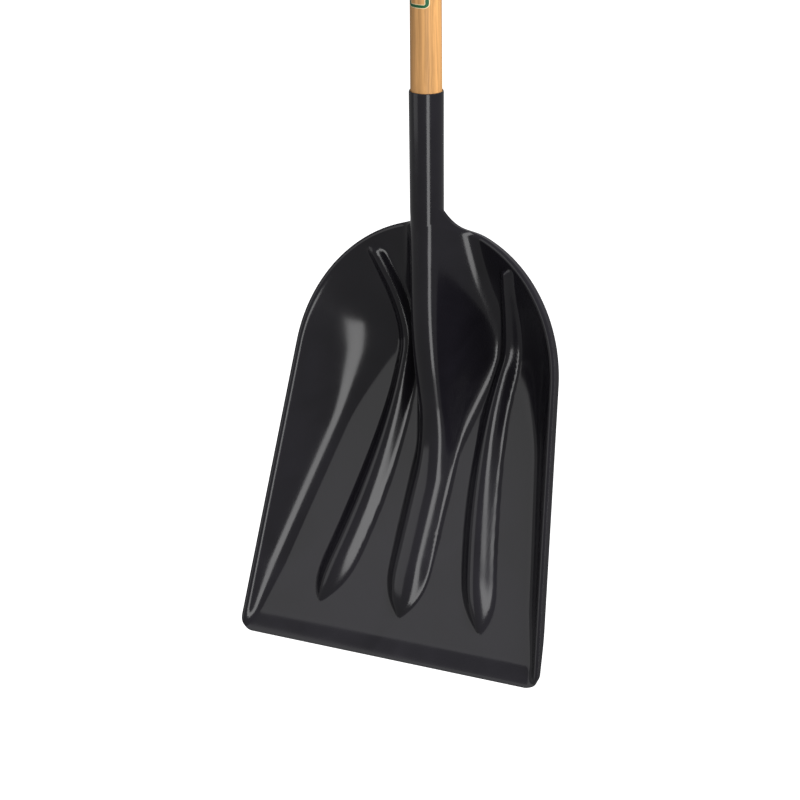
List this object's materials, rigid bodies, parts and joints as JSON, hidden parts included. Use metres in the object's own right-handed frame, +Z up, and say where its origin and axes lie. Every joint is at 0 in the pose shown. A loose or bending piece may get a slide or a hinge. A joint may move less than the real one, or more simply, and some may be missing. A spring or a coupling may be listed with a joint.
{
  "type": "grain scoop shovel",
  "caption": "Moulded grain scoop with a deep ribbed pan, a tapered socket, a round wooden handle and a D grip with a turned wooden bar.",
  "frame": {"origin": "middle of the grip bar, where the tool is held or hung", "axes": "+Z up along the handle axis, +X across the scoop to the right, the hollow of the scoop faces -Y"},
  "size_m": [0.3642, 0.1413, 1.1448],
  "materials": {
    "black_plastic": "glossy",
    "handle_wood": "satin lacquer",
    "grip_wood": "satin lacquer",
    "yoke_steel": "satin",
    "fastener_steel": "satin"
  },
  "bodies": {
    "root": {"scoop_blade": "black_plastic", "handle_shaft": "handle_wood", "socket_screw": "fastener_steel", "yoke_front": "yoke_steel", "yoke_back": "yoke_steel", "yoke_rivets": "fastener_steel", "grip_bar": "grip_wood", "grip_rod": "fastener_steel", "rod_washers": "fastener_steel"}
  },
  "joints": []
}
